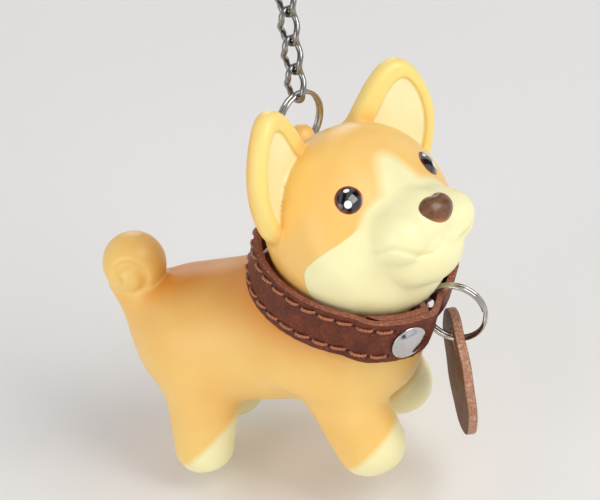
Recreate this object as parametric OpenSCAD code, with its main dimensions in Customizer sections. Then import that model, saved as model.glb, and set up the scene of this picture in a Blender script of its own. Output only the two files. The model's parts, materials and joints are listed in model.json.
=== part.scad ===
// Keychain: a jointed puppy charm hanging from a twisted link chain and a split key ring.
// Z is up, the puppy faces +X, and the origin is the centre of the key ring.

/* [Key ring] */
// Outside diameter of the key ring
key_ring_d = 28; // [24:1:35]
// Radial width of its flat wire
key_wire_w = 2.2; // [1.8:0.1:3]
// Thickness of one turn of its flat wire
key_wire_t = 1.15; // [0.9:0.05:1.6]

/* [Small rings] */
// Outside diameter of the ring on the head and of the ring above the chain
small_ring_d = 10; // [9.6:0.1:11]
// Outside diameter of the collar ring
collar_ring_d = 10.6; // [10.2:0.1:11]
// Diameter of the round ring wire
ring_wire_d = 0.7; // [0.6:0.05:0.8]

/* [Chain] */
// Outside length of a link
link_len = 7; // [6.5:0.1:9]
// Outside width of a link
link_w = 3.55; // [3.5:0.05:4]
// Diameter of the link wire
link_wire_d = 0.95; // [0.8:0.05:1]

/* [Puppy] */
// Radius of the skull
skull_r = 15.4; // [15.2:0.1:15.5]
// How far the head is turned on the neck, in degrees
head_turn = -28; // [-40:1:0]
// How far the neck leans forward, in degrees
neck_lean = 25; // [20:1:30]
// How far the hanging puppy's nose rises, in degrees
hang_pitch = 8; // [4:1:12]
// Wall thickness of the vinyl head and body
wall = 1.8; // [1.2:0.1:2.4]

/* [Collar] */
// Width of the leather strap
strap_w = 7.6; // [7:0.1:8]
// Thickness of the leather
strap_t = 1.25; // [1:0.05:1.4]
// Inside radius of the strap
strap_r = 14.9; // [14.8:0.05:15.2]
// Number of stitches in one row
stitches = 24; // [16:1:30]
// Diameter of the rivet cap
rivet_d = 6; // [5:0.1:6.4]
// Diameter of the leather tag
tag_d = 20.4; // [18:0.2:21]
// Thickness of the leather tag
tag_t = 1.45; // [1:0.05:1.5]

/* [Hidden] */

// Chain run: wires that hook into each other keep this gap
hook_gap = 0.05;
links = 7;
link_span = link_len - link_wire_d;               // end to end along the wire's centre line
link_pitch = link_span - link_wire_d - hook_gap;
link_arc_r = (link_w - link_wire_d) / 2;          // centre line of a link's rounded end
link_straight = link_span - 2 * link_arc_r;       // straight side between the two ends
arc_steps = 8;                                    // points round a link's end
side_steps = 9;                                   // points along a link's side
wire_sides = 8;
small_r = (small_ring_d - ring_wire_d) / 2;       // centre line of the small rings
hook_step = link_arc_r - 0.27;                    // a ring's two wires inside a link's end
flat_step = (key_wire_w + ring_wire_d) / 2 + 0.47; // a ring's wire inside the key ring

// Heights down the chain, from the key ring's centre
key_wire_z = -(key_ring_d - key_wire_w) / 2;
upper_ring_z = key_wire_z + flat_step - small_r;
link_top_z = upper_ring_z - small_r + hook_step;          // top wire of the first link
function link_z(i) = link_top_z - link_span / 2 - (links - i) * link_pitch;
head_ring_z = link_z(1) - link_span / 2 + hook_step - small_r;
bore_z = head_ring_z - small_r + 0.12;                    // the lug's hole

// Split rings and the key ring's two turns
ring_turn = 64;          // the head ring's plane holds the vertical and this direction
ring_cut = 20;           // each turn's cut lies this far either side of the ring's own zero
ring_sweep = 354;        // angle that one turn covers
seam_w = 0.12;           // groove between the key ring's turns
seam_d = 0.5;
end_cut = 0.3;           // width of the cut at a turn's end
end_at = 12;             // its angle either side of the ring's top

// Puppy frame: soles at z = 0, X forward; the neck frame's origin is the collar's top centre
neck_pos = [12.7, 0, 34.7];
skull_up = 6.4;          // skull centre above the collar's top, along the neck
face_pitch = 43;         // the face looks this far above the neck's own forward direction

// Head, from the skull's centre with the face looking along X
flat_at = [-8.5, 0, -0.5]; // centre of the flatter ball that trims the face
flat_grow = 4.7;         // its radius over the skull's
ear_points = [[-2.5, 4.2, 12.8, 1.8], [-3, 13.4, 2.5, 2], [-6, 9, 9, 2.2], [2.6, 13, 19.2, 2]];
cheek = [8.2, 4.2, -5.6]; // centre of one half of the muzzle
cheek_r = 5.6;
snout = [11.4, 0, -2.6]; // front of the muzzle under the nose
snout_r = 5;
nose_top = [15.6, 1.1, -0.4];
nose_top_r = 1.8;
nose_low = [15.2, 0, -1.4];
nose_low_r = 1.6;
eye_at = [8.3, 8.7, 5.1];
eye_tilt = 73;           // angle between an eye's axis and the head's up direction
eye_spread = 27.5;       // how far each eye looks out to its side
eye_dome_r = 2.9;
eye_dome_down = 1.6;     // dome's centre below the face
eye_seat = 0.4;          // depth of the eye's rim in the face
eye_seat_r = 2.66;
eye_stem_r = 1;
eye_stem_down = 1.4;
eye_play = 0.03;         // clearance round an eye's stem
lug_back = 29;           // lug angle behind the face's up direction
lug_bore_up = 15.9;      // lug bore's distance from the skull centre
lug_bore_r = 1.2;
lug_r = 2.4;
lug_sink = 0.5;          // lug centre below its bore
lug_tip_back = 25;       // the lug's rounded tip leans forward to this angle
lug_tip_up = 16.8;       // tip centre's distance from the skull centre
lug_tip_r = 2;
under_z = -1.2;          // flat underside of the head
floor_t = 1.6;           // its thickness

// Neck peg
peg_r = 6;
peg_gap = 0.06;          // running clearance in the head
peg_press = 0.05;        // clearance of the glued end in the body
peg_deep = 8;            // how deep the peg sits below the head
flange_w = 1.3;          // flange over the peg's radius
flange_t = 1.6;
flange_gap = 0.15;       // end play over the head's floor

// Body, from the soles
rump = [-16.9, 0, 20.7];
rump_r = 11.4;
chest = [6, 0, 22];
chest_r = 12.2;
shoulder_r = 13.4;       // disc under the collar
shoulder_z = -9.6;       // its lower face in the neck frame
shoulder_t = 1.4;
neck_r = 10.6;           // neck inside the collar
neck_foot = -12;         // where the neck starts inside the chest
groove_z = -8;           // floor of the collar's seat
front_foot = [10.5, 8.3];
front_knee = [6.5, 7, 17];
front_r = [6, 5.7];      // radius at the knee and at the foot
rear_foot = [-18.8, 7.8];
rear_knee = [-16.5, 5.6, 16];
rear_r = [6.6, 4.9];
sole_lift = 0.72;        // foot centre's height as a share of its radius
tail = [-25.6, 0, 34.4];
tail_r = 5.1;
tail_root = [-25.5, 0, 26];
tail_root_r = 3.6;

// Collar
front_gap = 28;          // half angle of the strap's open front
double_from = 62;        // half angle where the folded flap makes the strap double
double_to = 78;
strap_points = 72;       // steps round the strap's plan
rivet_at = 42;           // rivet's angle from the front
rivet_drop = 0.2;        // rivet below the strap's middle
tunnel_r = 1.2;          // hole in the folded end, round the collar ring's wire
tunnel_at = 12.95;
fold_r = 2.05;           // outside of the fold
tongue_w = 2.9;          // each folded end's width
tongue_z = [-4.6, -7.5]; // lower edge of the right and of the left tongue
post_r = 1.1;            // rivet post
post_play = 0.02;
washer_r = 2.4;
washer_t = 0.5;
washer_in = 0.75;        // washer's inner face inside the strap
cap_h = 1.2;             // height of the rivet's dome
cap_rim = 0.3;           // straight rim under the dome
cap_sink = 0.2;          // rim pressed into the leather
thread_d = 0.5;
stitch_from = 52;        // first stitch's angle from the front
stitch_len = 2.4;
stitch_edge = 1.3;       // stitch row's distance from the strap's edge
stitch_lift = 0.08;      // thread's centre line over the leather
collar_ring_r = (collar_ring_d - ring_wire_d) / 2;
collar_ring_at = [17.5, 0, -4.6];

// Tag
tag_hole_r = 1.8;
tag_hole_drop = 4;       // hole centre below the tag's top edge
tag_turn = 25.5;         // direction that the tag's face looks in
tag_hang = 0.3;          // the ring's wire lies this far above the tag hole's centre

function rot_y(v, a) = [v[0] * cos(a) + v[2] * sin(a), v[1], v[2] * cos(a) - v[0] * sin(a)];
function rot_z(v, a) = [v[0] * cos(a) - v[1] * sin(a), v[0] * sin(a) + v[1] * cos(a), v[2]];
function skull_to_puppy(v) =
    neck_pos + rot_y(rot_z(rot_y(v, -face_pitch) + [0, 0, skull_up], head_turn), neck_lean);
function puppy_to_row(v) = rot_y(v, -hang_pitch);
lug_in_puppy = skull_to_puppy([-lug_bore_up * sin(lug_back), 0, lug_bore_up * cos(lug_back)]);
hang_shift = [0, 0, bore_z] - puppy_to_row(lug_in_puppy);
function neck_to_row(v) = hang_shift + puppy_to_row(neck_pos + rot_y(v, neck_lean));
tag_pivot = neck_to_row(collar_ring_at) - [0, 0, collar_ring_r];
function sided(v, side) = [v[0], side * v[1], v[2]];

module hang() translate(hang_shift) rotate([0, -hang_pitch, 0]) children();
module on_neck() hang() translate(neck_pos) rotate([0, neck_lean, 0]) children();
module on_skull() on_neck() rotate([0, 0, head_turn]) translate([0, 0, skull_up])
    rotate([0, -face_pitch, 0]) children();

// A split ring: two turns of round wire side by side, each cut at its own end
module split_ring(r, wire_r = ring_wire_d / 2) {
    for (side = [-1, 1])
        rotate([0, 0, side * ring_cut]) translate([0, 0, side * wire_r * 0.95])
            rotate_extrude(angle = ring_sweep, $fn = 96) translate([r, 0]) circle(wire_r, $fn = 24);
}

module key_ring() {
    turn = key_wire_t;
    hole = key_ring_d / 2 - key_wire_w;
    color("silver") rotate([0, 0, ring_turn]) rotate([90, 0, 0]) difference() {
        cylinder(r = key_ring_d / 2, h = 2 * turn, center = true, $fn = 128);
        cylinder(r = hole, h = 4 * turn, center = true, $fn = 128);
        // Seam between the two turns, outside and inside
        for (r = [key_ring_d / 2, hole])
            rotate_extrude($fn = 128) translate([r, 0]) square([seam_d, seam_w], center = true);
        // Free end of each turn
        for (side = [-1, 1])
            rotate([0, 0, 90 + side * end_at]) translate([hole + key_wire_w / 2, 0, side * turn])
                cube([2 * key_wire_w, end_cut, 1.4 * turn], center = true);
    }
}

module upper_ring() {
    color("gainsboro") translate([0, 0, upper_ring_z]) rotate([0, 0, ring_turn + 90])
        rotate([90, 0, 0]) split_ring(small_r);
}

module head_ring() {
    color("gainsboro") translate([0, 0, head_ring_z]) rotate([0, 0, ring_turn])
        rotate([90, 0, 0]) split_ring(small_r);
}

// Twisted link: a closed wire with its two ends a quarter turn apart
function link_twist(z) =
    let (u = min(1, max(0, z / link_straight + 0.5))) 90 * u * u * (3 - 2 * u);
function link_arc(from, z) = [for (i = [0:arc_steps]) let (a = from + 180 * i / arc_steps)
    [link_arc_r * cos(a), z + link_arc_r * sin(a)]];
function link_side(x, dir) = [for (i = [1:side_steps - 1])
    [x, dir * link_straight * (0.5 - i / side_steps)]];
function unit(v) = v / norm(v);

module twisted_link() {
    flat = concat(link_arc(0, link_straight / 2), link_side(-link_arc_r, 1),
                  link_arc(180, -link_straight / 2), link_side(link_arc_r, -1));
    n = len(flat);
    centres = [for (p = flat) rot_z([p[0], 0, p[1]], link_twist(p[1]))];
    rings = [for (i = [0:n - 1])
        let (along = unit(centres[(i + 1) % n] - centres[(i + n - 1) % n]),
             across = unit(cross(along, rot_z([0, 1, 0], link_twist(flat[i][1])))),
             out = cross(across, along))
        for (k = [0:wire_sides - 1]) let (a = 360 * k / wire_sides)
            centres[i] + link_wire_d / 2 * (out * cos(a) + across * sin(a))];
    faces = [for (i = [0:n - 1]) for (k = [0:wire_sides - 1])
        let (j = (i + 1) % n * wire_sides, l = (k + 1) % wire_sides)
        [j + k, j + l, i * wire_sides + l, i * wire_sides + k]];
    polyhedron(points = rings, faces = faces, convexity = 4);
}

module chain_link(i) {
    color("silver") translate([0, 0, link_z(i)]) rotate([0, 0, ring_turn + 90]) twisted_link();
}

// Skull with a flatter face
module skull(r) {
    intersection() {
        sphere(r = r, $fn = 96);
        translate(flat_at) sphere(r = r + flat_grow, $fn = 96);
    }
}

module ear(side) {
    hull() for (p = ear_points) translate(sided(p, side)) sphere(r = p[3], $fn = 20);
}

module muzzle() {
    hull() {
        for (side = [-1, 1]) translate(sided(cheek, side)) sphere(r = cheek_r, $fn = 28);
        translate(snout) sphere(r = snout_r, $fn = 28);
    }
}

module on_eye(side) on_skull() translate(sided(eye_at, side))
    rotate([0, eye_tilt, side * eye_spread]) children();

// Domed eye with a short stem that is glued into the head
module eye(side) {
    color("black") on_eye(side) {
        intersection() {
            translate([0, 0, -eye_dome_down]) sphere(r = eye_dome_r, $fn = 64);
            translate([0, 0, -eye_seat]) cylinder(r = 3, h = 4, $fn = 64);
        }
        translate([0, 0, -eye_stem_down])
            cylinder(r = eye_stem_r, h = eye_stem_down - eye_seat + 0.2, $fn = 32);
    }
}

module nose() {
    color("saddlebrown") on_skull() hull() {
        for (side = [-1, 1]) translate(sided(nose_top, side)) sphere(r = nose_top_r, $fn = 24);
        translate(nose_low) sphere(r = nose_low_r, $fn = 24);
    }
}

// Hollow head: open below onto the neck peg, with a lug on top for the head ring
module head_shell() {
    color("sandybrown") difference() {
        on_skull() {
            skull(skull_r);
            muzzle();
            ear(1);
            ear(-1);
            hull() {
                rotate([0, -lug_back, 0]) translate([0, 0, lug_bore_up - lug_sink])
                    sphere(r = lug_r, $fn = 32);
                rotate([0, -lug_tip_back, 0]) translate([0, 0, lug_tip_up])
                    sphere(r = lug_tip_r, $fn = 32);
            }
        }
        difference() {
            on_skull() skull(skull_r - wall);
            on_neck() translate([0, 0, under_z - 20 + floor_t]) cylinder(r = 20, h = 20, $fn = 64);
        }
        on_neck() translate([0, 0, under_z - 20]) cylinder(r = 20, h = 20, $fn = 64);
        on_neck() translate([0, 0, under_z - 1])
            cylinder(r = peg_r + peg_gap, h = floor_t + 2, $fn = 96);
        for (side = [-1, 1]) on_eye(side) {
            translate([0, 0, -eye_seat - 0.02]) cylinder(r = eye_seat_r, h = 3, $fn = 64);
            translate([0, 0, -eye_stem_down - 0.1])
                cylinder(r = eye_stem_r + eye_play, h = 2, $fn = 32);
        }
        translate([0, 0, bore_z]) rotate([0, 0, ring_turn]) rotate([0, 90, 0])
            cylinder(r = lug_bore_r, h = 9, center = true, $fn = 48);
    }
}

// Peg that is pressed into the body; its flange holds the turning head
module neck_peg() {
    color("ivory") on_neck() {
        translate([0, 0, under_z - peg_deep])
            cylinder(r = peg_r, h = peg_deep + floor_t + 2 * flange_gap, $fn = 96);
        translate([0, 0, under_z + floor_t + flange_gap])
            cylinder(r = peg_r + flange_w, h = flange_t, $fn = 96);
    }
}

module leg(side, foot, knee, r) {
    hull() {
        translate(sided(knee, side)) sphere(r = r[0], $fn = 28);
        translate([foot[0], side * foot[1], r[1] * sole_lift]) sphere(r = r[1], $fn = 28);
    }
}

module lean() translate(neck_pos) rotate([0, neck_lean, 0]) children();

module torso(inset) {
    hull() {
        translate(rump) sphere(r = rump_r - inset, $fn = 32);
        translate(chest) sphere(r = chest_r - inset, $fn = 32);
        lean() translate([0, 0, shoulder_z - inset])
            cylinder(r = shoulder_r - inset, h = shoulder_t, $fn = 32);
    }
}

// Hollow body with four legs, a curled tail and a seat for the collar round its neck
module body_shell() {
    color("sandybrown") hang() difference() {
        union() {
            torso(0);
            for (side = [-1, 1]) {
                leg(side, front_foot, front_knee, front_r);
                leg(side, rear_foot, rear_knee, rear_r);
            }
            hull() {
                translate(tail) sphere(r = tail_r, $fn = 28);
                translate(tail_root) sphere(r = tail_root_r, $fn = 28);
            }
            lean() translate([0, 0, neck_foot])
                cylinder(r = neck_r, h = under_z - 0.3 - neck_foot, $fn = 96);
        }
        torso(wall);
        lean() difference() {
            translate([0, 0, groove_z]) cylinder(r = 20, h = 12, $fn = 96);
            translate([0, 0, groove_z - 1]) cylinder(r = neck_r, h = 14, $fn = 96);
        }
        lean() translate([0, 0, under_z - peg_deep]) cylinder(r = peg_r + peg_press, h = 20, $fn = 96);
        translate([-50, -50, -20]) cube([100, 100, 20]);
    }
}

// Plan of the strap round the neck; the folded flaps make it double near its open front
function doubled(a) = let (u = min(1, max(0, (double_to - a) / (double_to - double_from))))
    u * u * (3 - 2 * u);
function strap_out(a) = strap_r + strap_t * (1 + doubled(min(a, 360 - a)));
function strap_plan() = concat(
    [for (i = [0:strap_points]) let (a = front_gap + i * (360 - 2 * front_gap) / strap_points)
        strap_out(a) * [cos(a), sin(a)]],
    [for (i = [strap_points:-1:0]) let (a = front_gap + i * (360 - 2 * front_gap) / strap_points)
        strap_r * [cos(a), sin(a)]]
);
function tongue_plan() = [
    strap_out(0) * [cos(front_gap), -sin(front_gap)],
    [tunnel_at + fold_r, 0], [tunnel_at - 0.6, -1.5],
    strap_r * [cos(front_gap), -sin(front_gap)]
];

module at_rivets(r) for (side = [-1, 1])
    rotate([0, 0, side * rivet_at]) translate([r, 0, -strap_w / 2 - rivet_drop]) rotate([0, 90, 0])
        children();

module collar_strap() {
    color("saddlebrown") on_neck() difference() {
        union() {
            translate([0, 0, -strap_w]) linear_extrude(strap_w) polygon(strap_plan());
            for (i = [0, 1]) {
                translate([0, 0, tongue_z[i]]) mirror([0, i, 0]) {
                    linear_extrude(tongue_w) polygon(tongue_plan());
                    translate([tunnel_at, 0, 0]) cylinder(r = fold_r, h = tongue_w, $fn = 48);
                }
            }
        }
        translate([tunnel_at, 0, -strap_w - 1]) cylinder(r = tunnel_r, h = strap_w + 2, $fn = 48);
        at_rivets(strap_r - 1) cylinder(r = post_r + post_play, h = 6, $fn = 32);
    }
}

// One row of stitches, each lying along the strap's outer face
module stitch_row(z) {
    color("peru") on_neck() for (i = [0:stitches - 1]) {
        a = stitch_from + (i + 0.5) * (360 - 2 * stitch_from) / stitches;
        rotate([0, 0, a]) translate([strap_out(a) + stitch_lift, 0, z]) rotate([90, 0, 0])
            cylinder(r = thread_d / 2, h = stitch_len, center = true, $fn = 24);
    }
}

module rivet_caps() {
    dome_r = (pow(rivet_d / 2, 2) + pow(cap_h, 2)) / (2 * cap_h);
    color("silver") on_neck() at_rivets(strap_out(rivet_at) - cap_sink) {
        intersection() {
            translate([0, 0, cap_h + cap_rim - dome_r]) sphere(r = dome_r, $fn = 96);
            translate([0, 0, cap_rim]) cylinder(r = rivet_d / 2, h = 3, $fn = 96);
        }
        cylinder(r = rivet_d / 2 - 0.02, h = cap_rim + 0.01, $fn = 96);
    }
}

module rivet_posts() {
    color("gray") on_neck() at_rivets(strap_r - washer_in) {
        cylinder(r = washer_r, h = washer_t, $fn = 48);
        cylinder(r = post_r, h = strap_out(rivet_at) - strap_r + washer_in - cap_sink, $fn = 32);
    }
}

module collar_ring() {
    color("gainsboro") on_neck() translate(collar_ring_at) rotate([90, 0, 0])
        split_ring(collar_ring_r);
}

module leather_tag() {
    color("sienna") translate(tag_pivot - [0, 0, tag_hang]) rotate([0, 0, tag_turn])
        rotate([0, 90, 0]) difference() {
            translate([tag_d / 2 - tag_hole_drop, 0, 0])
                cylinder(r = tag_d / 2, h = tag_t, center = true, $fn = 128);
            cylinder(r = tag_hole_r, h = 2 * tag_t, center = true, $fn = 48);
        }
}

key_ring();
upper_ring();
chain_link(1);  // chain_link_1
chain_link(2);  // chain_link_2
chain_link(3);  // chain_link_3
chain_link(4);  // chain_link_4
chain_link(5);  // chain_link_5
chain_link(6);  // chain_link_6
chain_link(7);  // chain_link_7
head_ring();
head_shell();
eye(-1);  // eye_right
eye(1);  // eye_left
nose();
neck_peg();
body_shell();
collar_strap();
stitch_row(-stitch_edge);  // upper_stitching
stitch_row(stitch_edge - strap_w);  // lower_stitching
rivet_caps();
rivet_posts();
collar_ring();
leather_tag();
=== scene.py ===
import json
import math

import bmesh
import bpy
import numpy as np
from mathutils import Matrix, Vector


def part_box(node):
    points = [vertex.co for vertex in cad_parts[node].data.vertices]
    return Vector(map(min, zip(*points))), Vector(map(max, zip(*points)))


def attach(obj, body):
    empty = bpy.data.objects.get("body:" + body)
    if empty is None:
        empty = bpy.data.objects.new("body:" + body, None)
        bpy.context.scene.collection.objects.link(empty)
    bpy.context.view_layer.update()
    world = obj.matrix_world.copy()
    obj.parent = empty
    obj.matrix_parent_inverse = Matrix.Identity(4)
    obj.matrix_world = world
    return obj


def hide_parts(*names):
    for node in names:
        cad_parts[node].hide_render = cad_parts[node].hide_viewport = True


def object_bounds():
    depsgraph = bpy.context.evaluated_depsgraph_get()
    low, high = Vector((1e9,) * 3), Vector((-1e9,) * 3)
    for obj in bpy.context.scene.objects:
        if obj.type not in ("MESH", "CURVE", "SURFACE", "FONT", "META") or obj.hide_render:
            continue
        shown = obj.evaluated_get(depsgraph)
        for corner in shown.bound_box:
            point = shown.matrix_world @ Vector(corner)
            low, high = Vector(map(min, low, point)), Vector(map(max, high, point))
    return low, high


# Looks of the puppy keychain: vinyl figure, leather collar and tag, nickel chain and rings.
# Each piece is shaped in millimetres in a frame of its own, then put in its place in metres.

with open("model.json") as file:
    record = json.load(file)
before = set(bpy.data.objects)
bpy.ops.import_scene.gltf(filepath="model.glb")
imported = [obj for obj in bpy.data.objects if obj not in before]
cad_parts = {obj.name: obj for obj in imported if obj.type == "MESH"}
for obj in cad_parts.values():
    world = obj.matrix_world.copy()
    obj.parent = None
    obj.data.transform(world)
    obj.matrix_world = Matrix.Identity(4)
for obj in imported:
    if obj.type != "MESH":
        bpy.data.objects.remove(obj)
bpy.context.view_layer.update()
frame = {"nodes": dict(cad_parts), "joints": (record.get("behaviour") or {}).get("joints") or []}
mm = 0.001


# Frames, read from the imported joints.

puppyFit = dict(
    neckAt=(12.7, 0, 34.7),  # collar's top centre above the soles
    hangPitch=8,  # nose-up tilt while hanging
    headTurn=-28,
    skullUp=6.4,
    facePitch=43,
)


def jointPlace(name):
    joint = next(j for j in frame["joints"] if j["name"] == name)
    return Vector(joint["pos_m"]) / mm, Vector(joint["axis"]).normalized()


def frameOf(origin, forward, left, up):
    columns = Matrix((forward, left, up)).transposed().to_4x4()
    return Matrix.Translation(origin) @ columns


def turned(angle, axis):
    return Matrix.Rotation(math.radians(angle), 4, axis)


def moved(x, y, z):
    return Matrix.Translation((x, y, z))


def boxCentre(node):
    low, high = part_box(node)
    return (low + high) / 2 / mm


neckOrigin, neckUp = jointPlace("neck_turn")
neckFrame = frameOf(neckOrigin, Vector((0, 1, 0)).cross(neckUp).normalized(), Vector((0, 1, 0)), neckUp)
puppyFrame = (
    Matrix.Translation(neckOrigin)
    @ turned(-puppyFit["hangPitch"], "Y")
    @ Matrix.Translation(-Vector(puppyFit["neckAt"]))
)
skullFrame = (
    neckFrame
    @ turned(puppyFit["headTurn"], "Z")
    @ moved(0, 0, puppyFit["skullUp"])
    @ turned(-puppyFit["facePitch"], "Y")
)
lugPlace, lugAxis = jointPlace("head_swing")
ringTurn = math.degrees(math.atan2(lugAxis.y, lugAxis.x))


def linkObject(name, mesh):
    made = bpy.data.objects.new(name, mesh)
    bpy.context.scene.collection.objects.link(made)
    return made


def putPiece(mesh, name, place, body, materials, nodes=()):
    # mesh is in millimetres in the frame given by place
    mesh.name = name
    mesh.transform(Matrix.Scale(mm, 4) @ place)
    mesh.shade_smooth()
    for material in materials:
        mesh.materials.append(material)
    piece = linkObject(name, mesh)
    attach(piece, body)
    if nodes:
        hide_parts(*nodes)
    return piece


def meshFrom(bm, normals=True):
    if normals:
        bmesh.ops.recalc_face_normals(bm, faces=bm.faces)
    mesh = bpy.data.meshes.new("shape")
    bm.to_mesh(mesh)
    bm.free()
    return mesh


def sharpen(mesh, angle=35):
    mesh.set_sharp_from_angle(angle=math.radians(angle))


def addWire(bm, points, radius, closed=False, sides=12, material=0):
    # sweeps a round wire along the points and adds it to bm
    curve = bpy.data.curves.new("wire", "CURVE")
    curve.dimensions = "3D"
    spline = curve.splines.new("POLY")
    spline.points.add(len(points) - 1)
    for spot, point in zip(spline.points, points):
        spot.co = (*point, 1)
    spline.use_cyclic_u = closed
    curve.bevel_depth = radius
    curve.bevel_resolution = (sides - 4) // 2
    curve.use_fill_caps = not closed
    holder = bpy.data.objects.new("wire", curve)
    swept = bpy.data.meshes.new_from_object(holder)
    before = len(bm.faces)
    bm.from_mesh(swept)
    bm.faces.ensure_lookup_table()
    for face in bm.faces[before:]:
        face.material_index = material
    bpy.data.objects.remove(holder)
    bpy.data.curves.remove(curve)
    bpy.data.meshes.remove(swept)


def points(mesh):
    flat = np.zeros(len(mesh.vertices) * 3)
    mesh.vertices.foreach_get("co", flat)
    return flat.reshape(-1, 3)


def setPoints(mesh, where):
    mesh.vertices.foreach_set("co", np.asarray(where, float).ravel())
    mesh.update()


def setValues(mesh, name, values):
    layer = mesh.attributes.new(name, "FLOAT", "POINT")
    layer.data.foreach_set("value", np.asarray(values, np.float32))


def through(where, matrix):
    m = np.array(matrix)
    return where @ m[:3, :3].T + m[:3, 3]


# Distances to soft shapes, for sculpting: negative inside, in millimetres.


def ball(p, centre, radius):
    return np.linalg.norm(p - np.array(centre, float), axis=1) - radius


def egg(p, centre, size):
    q = (p - np.array(centre, float)) / np.array(size, float)
    near = np.linalg.norm(q, axis=1) + 1e-9
    return near * (near - 1) / (np.linalg.norm(q / np.array(size, float), axis=1) + 1e-9)


def limb(p, start, end, startRadius, endRadius):
    start, end = np.array(start, float), np.array(end, float)
    t = np.clip((p - start) @ (end - start) / ((end - start) @ (end - start)), 0, 1)
    gap = np.linalg.norm(p - start - t[:, None] * (end - start), axis=1)
    return gap - startRadius - t * (endRadius - startRadius)


def together(a, b, soft):
    # rounded union: soft is four times the height of the fillet where the two meet
    reach = 1.5 * soft
    near = np.maximum(reach - np.abs(a - b), 0) / reach
    return np.minimum(a, b) - near**3 * reach / 6


def common(a, b, soft):
    return -together(-a, -b, soft)


def ramp(value, low, high):
    t = np.clip((value - low) / (high - low), 0, 1)
    return t * t * (3 - 2 * t)


def lineGap(q, line):
    # distance in a plane from each point to an open line
    best = np.full(len(q), 1e9)
    for a, b in zip(line[:-1], line[1:]):
        a, b = np.array(a, float), np.array(b, float)
        t = np.clip((q - a) @ (b - a) / ((b - a) @ (b - a)), 0, 1)
        best = np.minimum(best, np.linalg.norm(q - a - t[:, None] * (b - a), axis=1))
    return best


def outlineGap(q, outline):
    # distance to a closed outline, negative inside
    inside = np.zeros(len(q), bool)
    for a, b in zip(outline, [*outline[1:], outline[0]]):
        crosses = (a[1] > q[:, 1]) != (b[1] > q[:, 1])
        rise = (b[1] - a[1]) if b[1] != a[1] else 1e-9
        inside ^= crosses & (q[:, 0] < (b[0] - a[0]) * (q[:, 1] - a[1]) / rise + a[0])
    gap = lineGap(q, [*outline, outline[0]])
    return np.where(inside, -gap, gap)


def smoothOutline(corners, rounds=2):
    # rounds off a closed outline by cutting its corners
    for _ in range(rounds):
        cut = []
        for a, b in zip(corners, [*corners[1:], corners[0]]):
            a, b = np.array(a, float), np.array(b, float)
            cut += [tuple(a * 0.75 + b * 0.25), tuple(a * 0.25 + b * 0.75)]
        corners = cut
    return corners


def addPlate(bm, outline, half, seat):
    # slab with a closed outline, as thick as half above and half below the seat's plane
    rim = [bm.verts.new((x, y, -half)) for x, y in outline]
    made = bmesh.ops.extrude_face_region(bm, geom=[bm.faces.new(rim)])["geom"]
    lifted = [v for v in made if isinstance(v, bmesh.types.BMVert)]
    bmesh.ops.translate(bm, vec=(0, 0, 2 * half), verts=lifted)
    bmesh.ops.transform(bm, matrix=seat, verts=[*rim, *lifted])


def sculpted(seeds, voxel, field, plates=(), cutter=None, rounds=2):
    # balls and plates overlap; their remeshed skin is then drawn onto the field's surface
    bm = bmesh.new()
    for centre, radius in seeds:
        bmesh.ops.create_icosphere(bm, subdivisions=4, radius=radius, matrix=moved(*centre))
    for plate in plates:
        addPlate(bm, *plate)
    rough = linkObject("rough", meshFrom(bm))
    first = rough.modifiers.new("skin", "REMESH")
    first.mode, first.voxel_size = "VOXEL", voxel
    drill = None
    if cutter:
        bm = bmesh.new()
        bmesh.ops.create_cone(
            bm, cap_ends=True, segments=32, radius1=cutter["radius"], radius2=cutter["radius"],
            depth=cutter["length"], matrix=cutter["place"],
        )
        drill = linkObject("drill", meshFrom(bm))
        hole = rough.modifiers.new("hole", "BOOLEAN")
        hole.operation, hole.object = "DIFFERENCE", drill
        second = rough.modifiers.new("skinAgain", "REMESH")
        second.mode, second.voxel_size = "VOXEL", voxel
    graph = bpy.context.evaluated_depsgraph_get()
    mesh = bpy.data.meshes.new_from_object(rough.evaluated_get(graph))
    for spare in filter(None, (rough, drill)):
        bpy.data.objects.remove(spare)
    for turn in range(rounds + 1):
        if turn:
            bm = bmesh.new()
            bm.from_mesh(mesh)
            bmesh.ops.smooth_vert(
                bm, verts=bm.verts, factor=0.5, use_axis_x=True, use_axis_y=True, use_axis_z=True
            )
            bm.to_mesh(mesh)
            bm.free()
        where = points(mesh)
        for _ in range(8 if turn == 0 else 3):
            height = field(where)
            slope = np.stack(
                [(field(where + step) - height) / 0.04 for step in np.eye(3) * 0.04], axis=1
            )
            steep = np.maximum((slope * slope).sum(axis=1), 0.15)
            pull = np.clip(height / steep, -0.5, 0.5)
            where = where - slope * pull[:, None]
        setPoints(mesh, where)
    return mesh


def tone(red, green, blue):
    # everyday 0 to 255 colour values to linear light
    def linear(c):
        c /= 255
        return c / 12.92 if c <= 0.04045 else ((c + 0.055) / 1.055) ** 2.4

    return (linear(red), linear(green), linear(blue), 1)


def newMaterial(name, **shader):
    material = bpy.data.materials.new(name)
    material.use_nodes = True
    principled = material.node_tree.nodes["Principled BSDF"]
    for socket, value in shader.items():
        principled.inputs[socket.replace("_", " ")].default_value = value
    return material


def node(material, kind, values=None, **settings):
    made = material.node_tree.nodes.new("ShaderNode" + kind)
    for key, value in settings.items():
        setattr(made, key, value)
    for socket, value in (values or {}).items():
        if isinstance(value, bpy.types.NodeSocket):
            material.node_tree.links.new(value, made.inputs[socket])
        else:
            made.inputs[socket].default_value = value
    return made


def place(material):
    return node(material, "TexCoord").outputs["Object"]


def noise(material, scale, detail=3, roughness=0.5, spread=None, warp=0):
    # scale is in features a metre; spread stretches the pattern
    where = place(material)
    if spread:
        where = node(material, "Mapping", {"Vector": where, "Scale": spread}).outputs[0]
    made = node(
        material, "TexNoise",
        {"Vector": where, "Scale": scale, "Detail": detail, "Roughness": roughness, "Distortion": warp},
    )
    return made.outputs[0]


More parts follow.
